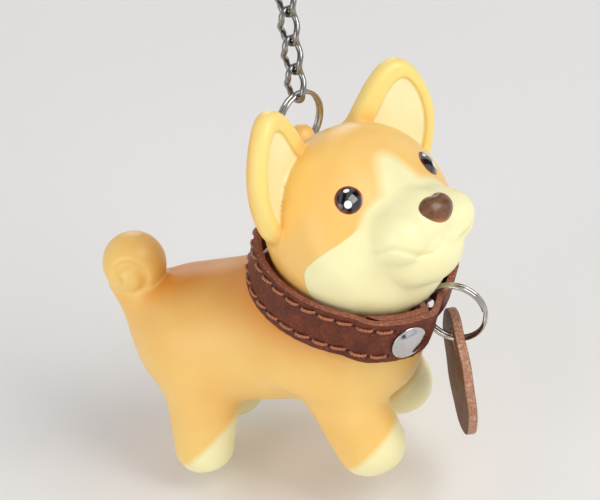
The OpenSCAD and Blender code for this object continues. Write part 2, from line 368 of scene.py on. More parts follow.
def mapped(material, value, low, high, toLow=0, toHigh=1):
    made = node(
        material, "MapRange",
        {"Value": value, "From Min": low, "From Max": high, "To Min": toLow, "To Max": toHigh},
    )
    return made.outputs[0]


def math2(material, operation, a, b=0.5):
    return node(material, "Math", {0: a, 1: b}, operation=operation).outputs[0]


def mixed(material, factor, a, b, mode="MIX"):
    made = node(material, "Mix", {0: factor, 6: a, 7: b}, data_type="RGBA", blend_type=mode)
    return made.outputs[2]


def painted(material, name):
    return node(material, "Attribute", attribute_name=name).outputs["Fac"]


def wear(material, colour=None, roughness=None, heights=()):
    # joins colour, roughness and bump heights (socket, depth in metres) to the shader
    links = material.node_tree.links
    principled = material.node_tree.nodes["Principled BSDF"]
    if colour is not None:
        links.new(colour, principled.inputs["Base Color"])
    if roughness is not None:
        links.new(roughness, principled.inputs["Roughness"])
    normal = None
    for height, depth in heights:
        values = {"Height": height, "Distance": depth, "Strength": 1}
        if normal:
            values["Normal"] = normal
        normal = node(material, "Bump", values).outputs[0]
    if normal:
        links.new(normal, principled.inputs["Normal"])
    return material


vinylLook = dict(
    skin=tone(248, 198, 108),
    skinLight=tone(251, 206, 118),
    # deeper orange: part airbrushed paint, part painted shade by the collar, the tail root and behind
    # the ears
    skinAirbrushShade=tone(226, 138, 36),
    cream=tone(252, 245, 192),
    creamShade=tone(247, 238, 182),
    # pale yellow: painted highlight on the ear rims, painted light low on the body, and the paler top of
    # the tail curl
    rim=tone(252, 224, 132),
)


def vinyl(name, look):
    material = newMaterial(
        name, Roughness=0.36, Subsurface_Weight=0.22, Subsurface_Radius=(1.0, 0.55, 0.3),
        Subsurface_Scale=0.0012, Coat_Weight=0.12, Coat_Roughness=0.3, IOR=1.47,
    )
    cloud = noise(material, 90, detail=2)
    skin = mixed(material, mapped(material, cloud, 0.35, 0.65), look["skin"], look["skinLight"])
    # deeper orange where the attribute is set: airbrush and painted shade
    skin = mixed(material, painted(material, "deep"), skin, look["skinAirbrushShade"])
    # pale tone where the attribute is set: painted highlight and painted light, plus the paler tail
    skin = mixed(material, painted(material, "light"), skin, look["rim"])
    cream = mixed(material, mapped(material, cloud, 0.4, 0.62), look["creamShade"], look["cream"])
    edge = painted(material, "cream")
    colour = mixed(material, mapped(material, edge, -1, 1), skin, cream)
    # thin darker line where the mask of the cream paint ended
    away = math2(material, "ABSOLUTE", edge)
    near = mapped(material, away, 1.6, 0, 0, 0.22)
    line = math2(material, "MULTIPLY", near, painted(material, "crisp"))
    colour = mixed(material, line, colour, tone(176, 122, 62))
    grime = mapped(material, noise(material, 700, detail=4, roughness=0.6), 0.3, 0.75, 0.32, 0.42)
    return wear(
        material, colour, grime,
        [(noise(material, 240, detail=2), 0.00006), (noise(material, 2600, detail=2), 0.000006)],
    )


headShape = dict(
    skull=15.4,
    flatterAt=(-8.5, 0, -0.5),  # a larger ball that trims the face flatter
    flatterGrow=4.7,
    lobe=(13.1, 5.2, -2.7),
    lobeRadius=4.1,
    bridge=(13.6, 0, -1.3),
    bridgeSize=(4.1, 4.4, 3.9),
    chin=(10.2, 0, -6.1),
    chinSize=(6.4, 7.2, 5.5),
    mouth=[(0, -5.0), (0.7, -5.5), (1.5, -6.0), (3, -6.3), (5.3, -6.0), (7.2, -4.9), (8.9, -3.5)],
    mouthCorner=(10.4, 9.0, -3.6),
    mouthDepth=0.34,
    mouthWidth=0.4,
    lugFoot=(29, 15.4, 2.4),  # degrees behind the face's up direction, distance out, radius
    lugTip=(25, 16.8, 2.0),
    boreRadius=1.22,
    boreHalf=4.5,
    flatAt=-1.2,  # underside, in the neck's frame
    pocket=[(6.1, -1.2), (6.1, 0.3), (7.5, 0.3), (7.5, 2.7), (0.5, 2.7)],  # radius, height
    voxel=0.26,
)
earShape = dict(
    base=(-3.1, 9.6, 8.1),
    tipWay=(0.4237, 0.3026, 0.8538),
    facing=(0.896, -0.284, -0.344),
    outline=[
        (-8, -2), (-5, -6.8), (-1, -9.3), (4.5, -9.7), (9, -8.5), (12.6, -6.1), (15.4, -3),
        (16.3, -0.2), (15, 2.3), (12, 4.1), (8.4, 5.4), (4.2, 6.7), (0, 8.8), (-6, 8), (-9, 3),
    ],
    dish=[
        (-8, -3), (-3.5, -5.8), (1.5, -7.5), (6.3, -7.3), (10.4, -5.4), (13, -2.8), (13.5, -0.8),
        (11.8, 0.9), (8, 2), (4.2, 3.3), (0, 4.6), (-8, 4),
    ],
    round=1.4,
    half=0.3,  # flat part of half the ear's thickness
    dishFloor=1.25,
    dishSlope=0.16,
    rootFrom=(-5.5, 8.5, 7.5),
    rootTo=(-1.5, 11, 13),
)
creamEdge = [
    # degrees to the side of the face, degrees up
    (0, 47.5), (6, 46.5), (11, 42), (14, 37), (18, 27.5), (22, 18.5), (30, 12.3), (39, 7.3),
    (49, 1.5), (58, -1.2), (67, -3), (78, -6.3), (85, -9.3), (90, -13.5), (97, -24), (99, -34),
    (100, -75), (-40, -75), (-40, 47.5),
]

earUp = Vector(earShape["tipWay"]).normalized()
earOut = Vector(earShape["facing"])
earOut = (earOut - earUp * earOut.dot(earUp)).normalized()
earAcross = earOut.cross(earUp)
earOutline = smoothOutline(earShape["outline"])
earDish = smoothOutline(earShape["dish"])
skullToNeck = neckFrame.inverted() @ skullFrame
boreInSkull = skullFrame.inverted() @ lugPlace
lugFoot, lugTip = (
    turned(-back, "Y") @ Vector((0, 0, out))
    for back, out, _ in (headShape["lugFoot"], headShape["lugTip"])
)
boreWay = skullFrame.inverted().to_3x3() @ lugAxis


def mirrored(p):
    return np.column_stack([p[:, 0], np.abs(p[:, 1]), p[:, 2]])


def earPlaces(p):
    q = mirrored(p) - np.array(earShape["base"])
    return np.column_stack([q @ np.array(earUp), q @ np.array(earAcross)]), q @ np.array(earOut)


def dishGap(flat, height):
    # shallow recess in the front of the ear, deeper towards its middle
    inside = outlineGap(flat, earDish)
    floor = earShape["dishFloor"] - earShape["dishSlope"] * np.clip(-inside, 0, 4)
    return np.maximum(inside, floor - height)


def earField(p):
    flat, height = earPlaces(p)
    edge = outlineGap(flat, earOutline) + earShape["round"]
    side = np.abs(height) - earShape["half"]
    plate = np.hypot(np.maximum(edge, 0), np.maximum(side, 0)) - earShape["round"]
    plate += np.minimum(np.maximum(edge, side), 0)
    root = limb(mirrored(p), earShape["rootFrom"], earShape["rootTo"], 3.4, 1.6)
    plate = together(plate, root, 2.5)
    return common(plate, -dishGap(flat, height), 0.45), height


def skullField(p):
    s = headShape
    flatter = ball(p, s["flatterAt"], s["skull"] + s["flatterGrow"])
    return common(ball(p, (0, 0, 0), s["skull"]), flatter, 1.2) - 0.1


def headField(p):
    s, q = headShape, mirrored(p)
    skull = skullField(p)
    muzzle = together(ball(q, s["lobe"], s["lobeRadius"]), egg(p, s["bridge"], s["bridgeSize"]), 1.8)
    head = together(skull, muzzle, 4.4)
    head = together(head, egg(p, s["chin"], s["chinSize"]), 0.9)
    mouth = lineGap(q[:, 1:], s["mouth"])
    front = ramp(p[:, 0], 7.5, 9.5)
    head = head + front * s["mouthDepth"] * np.exp(-((mouth / s["mouthWidth"]) ** 2))
    corner = np.linalg.norm(q - np.array(s["mouthCorner"]), axis=1)
    head = head + 0.12 * np.exp(-((corner / 1.2) ** 2))
    ear, height = earField(p)
    head = together(head, ear, 0.7 + 2.2 * ramp(height, 0.3, -2.5))
    lug = limb(p, lugFoot, lugTip, s["lugFoot"][2], s["lugTip"][2])
    head = together(head, lug, 0.5)
    way = (p - np.array(boreInSkull)) @ np.array(boreWay)
    radial = np.linalg.norm(p - np.array(boreInSkull) - way[:, None] * np.array(boreWay), axis=1)
    bore = np.maximum(radial - s["boreRadius"], np.abs(way) - s["boreHalf"])
    return common(head, -bore, 0.35)


def makeHead():
    s = headShape
    seeds = [((0, 0, 0), s["skull"] - 0.3), (s["bridge"], 4.0), (s["chin"], 5.6)]
    plates = []
    for side in (-1, 1):
        x, y, z = s["lobe"]
        seeds.append(((x, y * side, z), s["lobeRadius"]))
        mirror = Matrix.Diagonal((1, side, 1, 1))
        seat = mirror @ frameOf(Vector(earShape["base"]), earUp, earAcross, earOut)
        plates.append((earOutline, earShape["round"], seat))
        seeds.append(((-4.5, 9.2 * side, 9), 3.4))
    seeds += [(lugFoot, s["lugFoot"][2]), (lugTip, s["lugTip"][2])]
    drill = Matrix.Translation(boreInSkull) @ boreWay.to_track_quat("Z", "Y").to_matrix().to_4x4()
    mesh = sculpted(
        seeds, s["voxel"], headField, plates,
        dict(radius=s["boreRadius"], length=2 * s["boreHalf"], place=drill),
    )

    # flat underside with a pocket for the neck peg
    bm = bmesh.new()
    bm.from_mesh(mesh)
    bmesh.ops.transform(bm, matrix=skullToNeck, verts=bm.verts)
    cut = bmesh.ops.bisect_plane(
        bm, geom=[*bm.verts, *bm.edges, *bm.faces], dist=1e-4,
        plane_co=(0, 0, s["flatAt"]), plane_no=(0, 0, -1), clear_outer=True,
    )
    rim = [e for e in cut["geom_cut"] if isinstance(e, bmesh.types.BMEdge)]
    for radius, height in s["pocket"]:
        made = bmesh.ops.extrude_edge_only(bm, edges=rim)["geom"]
        rim = [e for e in made if isinstance(e, bmesh.types.BMEdge)]
        for vertex in {v for e in rim for v in e.verts}:
            way = vertex.co.xy.normalized() * radius
            vertex.co = (way.x, way.y, height)
    bmesh.ops.contextual_create(bm, geom=rim)
    bmesh.ops.transform(bm, matrix=skullToNeck.inverted(), verts=bm.verts)
    mesh = meshFrom(bm)

    where = points(mesh)
    reach = np.linalg.norm(where, axis=1)
    up = np.degrees(np.arcsin(where[:, 2] / reach))
    side = np.abs(np.degrees(np.arctan2(where[:, 1], where[:, 0])))
    degree = math.radians(s["skull"])  # length of one degree on the skull
    wide = np.cos(np.radians(np.maximum(up, -70)))
    q = np.column_stack([side * wide, np.maximum(up, -70)]) * degree
    corners = [(a * math.cos(math.radians(b)) * degree, b * degree) for a, b in creamEdge]
    face = -outlineGap(q, smoothOutline(corners, 1))
    crisp = ramp(up, 14, 4)
    soft = 0.14 + 1.1 * (1 - crisp)
    flat, height = earPlaces(where)
    onEar = np.clip(skullField(where) * 1.5 - 0.45, -4, 4)
    inner = np.minimum(-outlineGap(flat, earDish) - 0.15, onEar)
    inner = np.where(height > -0.8, inner, -4) / 0.22
    mask = np.maximum(np.clip(face / soft, -4, 4), np.clip(inner, -4, 4))
    setValues(mesh, "cream", mask)
    setValues(mesh, "crisp", crisp * (inner < -3.9))
    # painted highlight on the front of the ear rims
    earRimHighlight = ramp(skullField(where), 0.3, 3) * ramp(height, -1.5, 0.6)
    setValues(mesh, "light", 0.95 * earRimHighlight)
    neckWay = through(where, skullToNeck)
    # painted shade on the backs of the ears and low on the head towards the collar
    behind = ramp(height, 1.0, -1.5) * ramp(skullField(where), 0.2, 2) * 0.2
    setValues(mesh, "deep", np.clip(behind + 0.12 * ramp(neckWay[:, 2], 6, 0), 0, 1))
    return putPiece(
        mesh, "puppyHead", skullFrame, "head", [vinyl("headVinyl", vinylLook)], ["head_shell"]
    )


makeHead()
print("head done")


eyeShape = dict(
    at=(8.3, 8.7, 5.1),
    spread=27.5,  # degrees that an eye looks out to its side
    tilt=73,
    radius=2.4,
    dome=3.5,
    pupil=1.78,
    spotLow=(0.5, -0.68, 0.6),  # outwards, up, radius
    spotTop=(-0.15, 1.42, 0.5),
)


def eyeMaterial():
    material = newMaterial(
        "eyeEnamel", Roughness=0.06, Coat_Weight=1.0, Coat_Roughness=0.03, IOR=1.5
    )
    radius = painted(material, "fromCentre")
    speck = mapped(material, noise(material, 1500, detail=3), 0.3, 0.7, -0.06, 0.06)
    radius = math2(material, "ADD", radius, speck)
    brown = mixed(
        material, mapped(material, radius, 2.0, 2.28), tone(92, 34, 12), tone(196, 106, 48)
    )
    brown = mixed(material, mapped(material, radius, 2.3, 2.4), brown, tone(120, 58, 22))
    black, pupil = tone(9, 6, 5), eyeShape["pupil"]
    colour = mixed(
        material, mapped(material, radius, pupil - 0.08, pupil + 0.08), black, brown
    )
    white = math2(
        material, "MAXIMUM",
        mapped(material, painted(material, "fromLowSpot"), 1.06, 0.94),
        mapped(material, painted(material, "fromTopSpot"), 1.08, 0.92),
    )
    colour = mixed(material, white, colour, tone(250, 250, 248))
    return wear(material, colour, None, [(speck, 0.00001)])


def makeEye(name, cadName, side, material):
    s = eyeShape
    bm = bmesh.new()
    top = s["dome"] - math.sqrt(s["dome"] ** 2 - s["radius"] ** 2)
    profile = []
    for i in range(25):
        r = s["radius"] * math.sin(math.pi / 2 * i / 24)
        z = math.sqrt(s["dome"] ** 2 - r * r) - s["dome"] + top + 0.12
        lip = 0.10 * math.exp(-(((r - 2.15) / 0.16) ** 2))  # raised enamel rim
        profile.append(bm.verts.new((r, 0, z + lip)))
    profile.append(bm.verts.new((s["radius"] + 0.03, 0, -0.15)))
    profile.append(bm.verts.new((s["radius"] - 0.15, 0, -0.7)))
    profile.append(bm.verts.new((0, 0, -0.75)))
    line = [bm.edges.new(pair) for pair in zip(profile[:-1], profile[1:])]
    bmesh.ops.spin(
        bm, geom=[*profile, *line], cent=(0, 0, 0), axis=(0, 0, 1), angle=math.tau, steps=72,
        use_merge=True,
    )
    bmesh.ops.remove_doubles(bm, verts=bm.verts, dist=1e-4)
    mesh = meshFrom(bm)
    where = points(mesh)
    # towards the outside of the face, and up the face
    outward, upward = where[:, 1] * side, -where[:, 0]
    setValues(mesh, "fromCentre", np.hypot(where[:, 0], where[:, 1]))
    lowX, lowY, lowRadius = s["spotLow"]
    topX, topY, topRadius = s["spotTop"]
    setValues(mesh, "fromLowSpot", np.hypot(outward - lowX, upward - lowY) / lowRadius)
    setValues(mesh, "fromTopSpot", np.hypot(outward - topX, (upward - topY) / 0.6) / topRadius)
    x, y, z = s["at"]
    seat = skullFrame @ moved(x, side * y, z) @ turned(side * s["spread"], "Z") @ turned(s["tilt"], "Y")
    return putPiece(mesh, name, seat, "head", [material], [cadName])


enamel = eyeMaterial()
makeEye("rightEye", "eye_right", -1, enamel)
makeEye("leftEye", "eye_left", 1, enamel)
print("eyes done")


noseShape = dict(size=(1.9, 3.55, 2.4), dip=0.32, narrow=0.2, at=(16.6, 0.15, -0.45), tilt=-8)


def makeNose():
    s = noseShape
    bm = bmesh.new()
    bmesh.ops.create_icosphere(bm, subdivisions=5, radius=1)
    mesh = meshFrom(bm)
    p = points(mesh)
    y, z = p[:, 1] * s["size"][1], p[:, 2] * s["size"][2]
    y = y * (1 - s["narrow"] * np.clip(-z / s["size"][2], 0, 1))
    z = z - s["dip"] * np.exp(-((y / 0.85) ** 2)) * ramp(z, 0.2, s["size"][2])
    x = p[:, 0] * s["size"][0] - 0.05 * y**2
    setPoints(mesh, np.column_stack([x, y, z]))
    setValues(mesh, "lowRim", ramp(-p[:, 2] + 0.4 * np.abs(p[:, 1]) - 0.55 * p[:, 0], 0.25, 1.0))
    material = newMaterial("noseEnamel", Roughness=0.3, Coat_Weight=0.3, Coat_Roughness=0.2)
    cloud = noise(material, 900, detail=4, roughness=0.6)
    brown = mixed(material, mapped(material, cloud, 0.3, 0.7), tone(92, 54, 26), tone(128, 82, 48))
    colour = mixed(material, painted(material, "lowRim"), brown, tone(206, 118, 50))
    wear(material, colour, mapped(material, cloud, 0.3, 0.7, 0.26, 0.42), [(cloud, 0.00003)])
    seat = skullFrame @ moved(*s["at"]) @ turned(s["tilt"], "Y")
    return putPiece(mesh, "puppyNose", seat, "head", [material], ["nose"])


makeNose()
print("nose done")


bodyShape = dict(
    rump=(-16.9, 0, 20.7),
    rumpRadius=11.4,
    chest=(6, 0, 22),
    chestRadius=12.2,
    shoulderRadius=13.8,
    shoulderTop=-8.3,
    shoulderMiddle=-14,
    shoulderRound=1.8,
    neckRadius=10.6,
    neckTop=-1.5,
    frontFoot=(10.5, 8.3),
    frontKnee=(6.5, 7, 17),
    frontRadius=(6, 5.7),
    rearFoot=(-18.8, 7.8),
    rearKnee=(-16.5, 5.6, 16),
    rearRadius=(6.6, 4.9),
    tail=(-25.6, 0, 34.4),
    tailRadius=5.1,
    tailRoot=(-24.2, 0, 25),
    tailBend=(-26.9, 0, 31.5),
    voxel=0.33,
)
puppyToNeck = neckFrame.inverted() @ puppyFrame


def footCentre(foot, radius):
    return (foot[0], foot[1], radius * 0.72)


def bodyField(p):
    s, q = bodyShape, mirrored(p)
    body = limb(p, s["rump"], s["chest"], s["rumpRadius"], s["chestRadius"])
    n = through(p, puppyToNeck)
    radial = np.hypot(n[:, 0], n[:, 1])
    soft, middle = s["shoulderRound"], s["shoulderMiddle"]
    edge = radial - s["shoulderRadius"] + soft
    side = np.abs(n[:, 2] - middle) - (s["shoulderTop"] - middle) + soft
    shoulder = np.hypot(np.maximum(edge, 0), np.maximum(side, 0)) - soft
    shoulder += np.minimum(np.maximum(edge, side), 0)
    body = together(body, shoulder, 5)
    front = footCentre(s["frontFoot"], s["frontRadius"][1])
    rear = footCentre(s["rearFoot"], s["rearRadius"][1])
    body = together(body, limb(q, s["frontKnee"], front, *s["frontRadius"]), 2.2)
    body = together(body, limb(q, s["rearKnee"], rear, *s["rearRadius"]), 2.2)
    root = limb(p, s["tailRoot"], s["tailBend"], 4.6, 3.9)
    body = together(body, root, 3.5)
    # curled tail: a coil of a tapering tube seen from the side
    t = p - np.array(s["tail"])
    curl = together(ball(p, s["tail"], s["tailRadius"]), egg(p, s["tail"], (5.1, 4.6, 5.1)), 0.5)
    turn = np.arctan2(t[:, 2], t[:, 0])
    reach = np.hypot(t[:, 0], t[:, 2])
    spiral = 0.75 + 2.05 * ((np.pi - turn + 0.9) % (2 * np.pi)) / (2 * np.pi) * 1.6
    groove = np.exp(-(((reach - spiral) / 0.75) ** 2)) * ramp(np.abs(t[:, 1]), 1.5, 3.2)
    curl = curl + 0.8 * groove * ramp(spiral, 4.4, 2.6)
    body = together(body, curl, 0.45)
    neck = np.maximum(radial - s["neckRadius"], np.abs(n[:, 2] + 10) - (s["neckTop"] + 10))
    body = together(body, neck, 0.4)
    body = common(body, n[:, 2] - s["neckTop"], 0.3)
    return common(body, -p[:, 2], 0.9)


def makeBody():
    s = bodyShape
    seeds = [(s["rump"], s["rumpRadius"]), (s["chest"], s["chestRadius"]), ((-5.5, 0, 21.4), 11.5)]
    seeds += [((-11, 0, 21), 11.3), ((0, 0, 21.7), 11.8), (s["tail"], s["tailRadius"])]
    toPuppy = puppyToNeck.inverted()
    for height, radius in ((-14, 12.5), (-11, 10.5), (-8, 9.3), (-6, 9), (-9.5, 10)):
        seeds.append((tuple(toPuppy @ Vector((0, 0, height))), radius))
    for foot, knee, (kneeRadius, footRadius) in (
        (s["frontFoot"], s["frontKnee"], s["frontRadius"]),
        (s["rearFoot"], s["rearKnee"], s["rearRadius"]),
    ):
        for side in (-1, 1):
            for k in range(6):
                a = Vector((knee[0], knee[1] * side, knee[2]))
                b = Vector(footCentre((foot[0], foot[1] * side), footRadius))
                spot = a.lerp(b, k / 5)
                seeds.append((tuple(spot), kneeRadius + (footRadius - kneeRadius) * k / 5))
    for k in range(4):
        seeds.append((tuple(Vector(s["tailRoot"]).lerp(Vector(s["tailBend"]), k / 3)), 4))
    mesh = sculpted(seeds, s["voxel"], bodyField)
    where = points(mesh)
    q = mirrored(where)
    mask = np.full(len(where), -9.0)
    for foot in (s["frontFoot"], s["rearFoot"]):
        near = 8.5 - np.hypot(q[:, 0] - foot[0], q[:, 1] - foot[1])
        line = (3.9 + 0.72 * (where[:, 0] - foot[0])) - where[:, 2]
        mask = np.maximum(mask, np.minimum(near, line * 0.8))
    setValues(mesh, "cream", np.clip(mask / 0.55, -4, 4))
    setValues(mesh, "crisp", np.zeros(len(where)))
    n = through(where, puppyToNeck)
    # deeper orange by the collar and round the tail root: part airbrush, part painted shade; also darker
    # towards the top of the back
    collarShade = ramp(n[:, 2], -16, -8) * ramp(where[:, 2], 20, 31)
    tailShade = ramp(np.linalg.norm(where - np.array((-18.5, 0, 32.5)), axis=1), 9, 2)
    flank = ramp(where[:, 2], 20, 33) * 0.22
    setValues(mesh, "deep", np.clip(0.7 * collarShade + 0.6 * tailShade + flank, 0, 0.95))
    # paler paint on the top of the tail curl, and painted light low on the legs and paws
    onTail = ramp(ball(where, s["tail"], s["tailRadius"]), 0.9, 0.1) * ramp(where[:, 2], 28.5, 31)
    low = ramp(where[:, 2], 12, 2) * 0.25
    setValues(mesh, "light", np.clip(0.45 * onTail + low, 0, 1))
    return putPiece(
        mesh, "puppyBody", puppyFrame, "body", [vinyl("bodyVinyl", vinylLook)], ["body_shell"]
    )


makeBody()
print("body done")


wireLook = dict(
    # colour, roughness, how much of the brightness the dull patches keep
    chain=(tone(158, 155, 150), 0.14, 0.5),
    ring=(tone(188, 184, 178), 0.12, 0.8),
    key=(tone(190, 188, 184), 0.2, 0.75),
    rivet=(tone(202, 200, 200), 0.1, 0.88),
)


def nickel(name, look):
    colour, smoothness, kept = look
    material = newMaterial(name, Metallic=1.0, Roughness=smoothness)
    cloud = noise(material, 1400, detail=5, roughness=0.62)
    dull = tuple(c * kept for c in colour[:3]) + (1,)
    shade = mixed(material, mapped(material, cloud, 0.42, 0.72), colour, dull)
    scratch = noise(material, 900, detail=4, spread=(1, 1, 9))
    rough = mapped(material, scratch, 0.3, 0.75, smoothness * 0.75, smoothness * 1.9)
    return wear(material, shade, rough, [(scratch, 0.000008), (cloud, 0.000006)])


chainShape = dict(length=7, width=3.55, wire=0.95, arcSteps=14, sideSteps=18)
ringShape = dict(small=4.65, collar=4.95, wire=0.7, gap=28)


def linkLine(s):
    bend = (s["width"] - s["wire"]) / 2
    straight = s["length"] - s["wire"] - 2 * bend
    flat = []
    for way in (1, -1):
        for i in range(s["arcSteps"] + 1):
            a = math.pi * i / s["arcSteps"] + (0 if way > 0 else math.pi)
            flat.append((bend * math.cos(a), way * straight / 2 + bend * math.sin(a)))
        for i in range(1, s["sideSteps"]):
            flat.append((-way * bend, way * straight * (0.5 - i / s["sideSteps"])))
    line = []
    for x, z in flat:
        twist = math.pi / 2 * float(ramp(np.array(z / straight), -0.5, 0.5))
        line.append((x * math.cos(twist), x * math.sin(twist), z))
    return line


def makeChain():
    material = nickel("chainNickel", wireLook["chain"])
    line = linkLine(chainShape)
    for number in range(1, 8):
        cadName = f"chain_link_{number}"
        bm = bmesh.new()
        addWire(bm, line, chainShape["wire"] / 2, closed=True, sides=14)
        mesh = meshFrom(bm)
        centre = boxCentre(cadName)
        centre.x = centre.y = 0
        seat = Matrix.Translation(centre) @ turned(ringTurn + 90, "Z")
        putPiece(mesh, f"chainLink{number}", seat, cadName, [material], [cadName])


def ringLine(radius, wire, start, gap, steps=72):
    # two turns side by side, with a short crossing between them
    jog, line = gap / 360, []
    total = 2 - jog
    for i in range(int(steps * total) + 1):
        t = min(i / steps, total)
        across = float(ramp(np.array(t), 1 - jog, 1)) * 2 - 1
        a = math.radians(start) + math.tau * t
        line.append((radius * math.cos(a), across * wire * 0.485, radius * math.sin(a)))
    return line


def makeRing(name, cadName, radius, start, seat, material):
    bm = bmesh.new()
    line = ringLine(radius, ringShape["wire"], start, ringShape["gap"])
    addWire(bm, line, ringShape["wire"] / 2, sides=14)
    mesh = meshFrom(bm)
    sharpen(mesh, 50)
    return putPiece(mesh, name, seat, cadName, [material], [cadName])


makeChain()
ringMetal = nickel("ringNickel", wireLook["ring"])
for name, cadName, turn, start in (
    ("upperRing", "upper_ring", ringTurn + 90, 200),
    ("headRing", "head_ring", ringTurn, 215),
):
    centre = boxCentre(cadName)
    centre.x = centre.y = 0
    seat = Matrix.Translation(centre) @ turned(turn, "Z")
    makeRing(name, cadName, ringShape["small"], start, seat, ringMetal)
collarRingSeat = neckFrame @ moved(17.5, 0, -4.6)
makeRing("collarRing", "collar_ring", ringShape["collar"], 28, collarRingSeat, ringMetal)
print("chain and rings done")


keyShape = dict(outer=14, wide=2.2, thick=1.15, start=70, jog=26)


def makeKeyRing():
    s = keyShape
    bm = bmesh.new()
    half, thick = s["wide"] / 2, s["thick"] / 2
    middle = s["outer"] - half
    corners = [
        bm.verts.new((middle + x * half, -thick + z * (thick - 0.01), 0))
        for x, z in ((-1, -1), (1, -1), (1, 1), (-1, 1))
    ]
    bm.faces.new(corners)
    bmesh.ops.bevel(
        bm, geom=corners, offset=0.32, segments=4, profile=0.5, affect="VERTICES", material=-1
    )
    bmesh.ops.rotate(bm, cent=(0, 0, 0), matrix=turned(-s["start"], "Y"), verts=bm.verts)
    geom = [*bm.verts, *bm.edges, *bm.faces]
    flatTurn, crossing = (360 - s["jog"], 0, 110), (s["jog"], 2 * thick, 12)
    for angle, rise, steps in (flatTurn, crossing, flatTurn):
        geom = bmesh.ops.spin(
            bm, geom=geom, cent=(0, 0, 0), axis=(0, -1, 0), dvec=(0, rise / steps, 0),
            angle=math.radians(angle), steps=steps,
        )["geom_last"]
    mesh = meshFrom(bm)
    sharpen(mesh, 60)
    seat = turned(ringTurn, "Z")
    material = nickel("keyRingNickel", wireLook["key"])
    return putPiece(mesh, "keyRing", seat, "key_ring", [material], ["key_ring"])


makeKeyRing()
print("key ring done")


leatherLook = dict(
    face=tone(122, 58, 34),
    faceDark=tone(82, 34, 18),
    faceWorn=tone(158, 92, 62),
    cut=tone(170, 100, 72),
    cutLight=tone(212, 150, 118),
    cutDark=tone(112, 58, 38),
    tagFace=tone(110, 54, 22),
    tagDark=tone(70, 30, 10),
    tagEdge=tone(206, 160, 134),
)


def leatherFace(name, base, dark, worn, holes=False):
    material = newMaterial(name, Roughness=0.6, Specular_IOR_Level=0.3)
    grain = node(
        material, "TexVoronoi", {"Vector": place(material), "Scale": 1900, "Randomness": 1}, feature="F1"
    ).outputs["Distance"]
    cloud = noise(material, 420, detail=5, roughness=0.65)
    fine = noise(material, 3200, detail=3)
    colour = mixed(material, mapped(material, cloud, 0.35, 0.68), dark, base)
    colour = mixed(material, mapped(material, fine, 0.55, 0.8, 0, 0.7), colour, worn)
    colour = mixed(material, mapped(material, grain, 0.35, 0.75, 0, 0.4), colour, dark)
    if holes:
        # needle holes painted near black: painted shade inside the holes
        hole = mapped(material, painted(material, "hole"), 0.42, 0.2)
        colour = mixed(material, hole, colour, tone(22, 9, 6))
    rough = mapped(material, cloud, 0.3, 0.7, 0.42, 0.62)
    return wear(material, colour, rough, [(grain, 0.00003), (fine, 0.00004), (cloud, 0.00008)])


def leatherCut(name, base, light, dark):
    # cut edge: bare fibres, matt and speckled
    material = newMaterial(name, Roughness=0.85, Sheen_Weight=0.15)
    fibre = noise(material, 2600, detail=6, roughness=0.7, warp=0.6)
    patch = noise(material, 700, detail=3)
    colour = mixed(material, mapped(material, fibre, 0.36, 0.66), dark, base)
    colour = mixed(material, mapped(material, fibre, 0.56, 0.72, 0, 0.8), colour, light)
    colour = mixed(material, mapped(material, patch, 0.5, 0.75, 0, 0.35), colour, dark)
    return wear(material, colour, None, [(fibre, 0.00012)])


strapShape = dict(
    inside=14.9,
    thick=1.25,
    width=7.6,
    doubleFrom=62,
    doubleTo=78,
    flapEnd=68,
    frontAt=28,
    outerBend=(15.3, 3.6),
    innerBend=(12.1, 4.4),
    taperFrom=36,
    tongueRight=(-1.72, -4.52),  # top and bottom of each folded end
    tongueLeft=(-4.68, -7.5),
    tunnel=12.95,
    foldRadius=1.42,
    rows=(-1.3, -6.3),
    stitchFrom=52,
    stitches=24,
    rivetAt=42,
    rivetDrop=0.2,
)


def outerRadius(angle):
    # outer face of the strap, angle in degrees from the front
    s = strapShape
    a = min(angle % 360, 360 - angle % 360)
    doubled = 1 - float(ramp(np.array(float(a)), s["doubleFrom"], s["doubleTo"]))
    return s["inside"] + s["thick"] * (1 + doubled)


def halfStrapPlan():
    # middle line of the strap from the back to the front, round the fold and back inside;
    # each point: plan x, plan y, angle that sets the width, share of the full thickness
    s = strapShape
    line = []
    for a in np.arange(180, s["frontAt"], -1.0):
        r = outerRadius(a) - s["thick"] / 2
        line.append((r * math.cos(math.radians(a)), r * math.sin(math.radians(a)), a, 1))
    front = math.radians(s["frontAt"])
    way = Vector((math.cos(front), math.sin(front)))
    start = way * (outerRadius(s["frontAt"]) - s["thick"] / 2)
    centre = Vector((s["tunnel"], 0))
    fold = s["foldRadius"]
    top = centre + Vector((fold, 0))
    for i in range(1, 13):  # gentle sweep to the front of the fold
        t = i / 12
        spot = start * (1 - t) ** 2 + Vector(s["outerBend"]) * 2 * t * (1 - t) + top * t * t
        line.append((spot.x, spot.y, s["frontAt"] * (1 - t), 1 - 0.35 * t))
    for i in range(1, 13):
        a = math.radians(-180 * i / 12)
        line.append((centre.x + fold * math.cos(a), centre.y + fold * math.sin(a), 0, 0.62))
    end = way * (s["inside"] + s["thick"] / 2)
    back = centre - Vector((fold, 0))
    for i in range(1, 13):
        t = i / 12
        spot = back * (1 - t) ** 2 + Vector(s["innerBend"]) * 2 * t * (1 - t) + end * t * t
        line.append((spot.x, spot.y, s["frontAt"] * t, 0.62 + 0.38 * t))
    for a in np.arange(s["frontAt"] + 1, s["flapEnd"], 1.0):
        thin = 1 - 0.8 * float(ramp(np.array(float(a)), 58, 68))
        r = s["inside"] + s["thick"] * thin / 2
        line.append((r * math.cos(math.radians(a)), r * math.sin(math.radians(a)), a, thin))
    return line


def strapEdges(angle, right):
    # top and bottom height of the strap at that angle; it narrows to a tongue at the front
    s = strapShape
    straight, eased = np.clip(angle / s["taperFrom"], 0, 1), ramp(angle, 6, s["taperFrom"])
    top, low = s["tongueRight"] if right else s["tongueLeft"]
    topShare, lowShare = (eased, straight) if right else (straight, eased)
    return top * (1 - topShare), -s["width"] + (s["width"] + low) * (1 - lowShare)


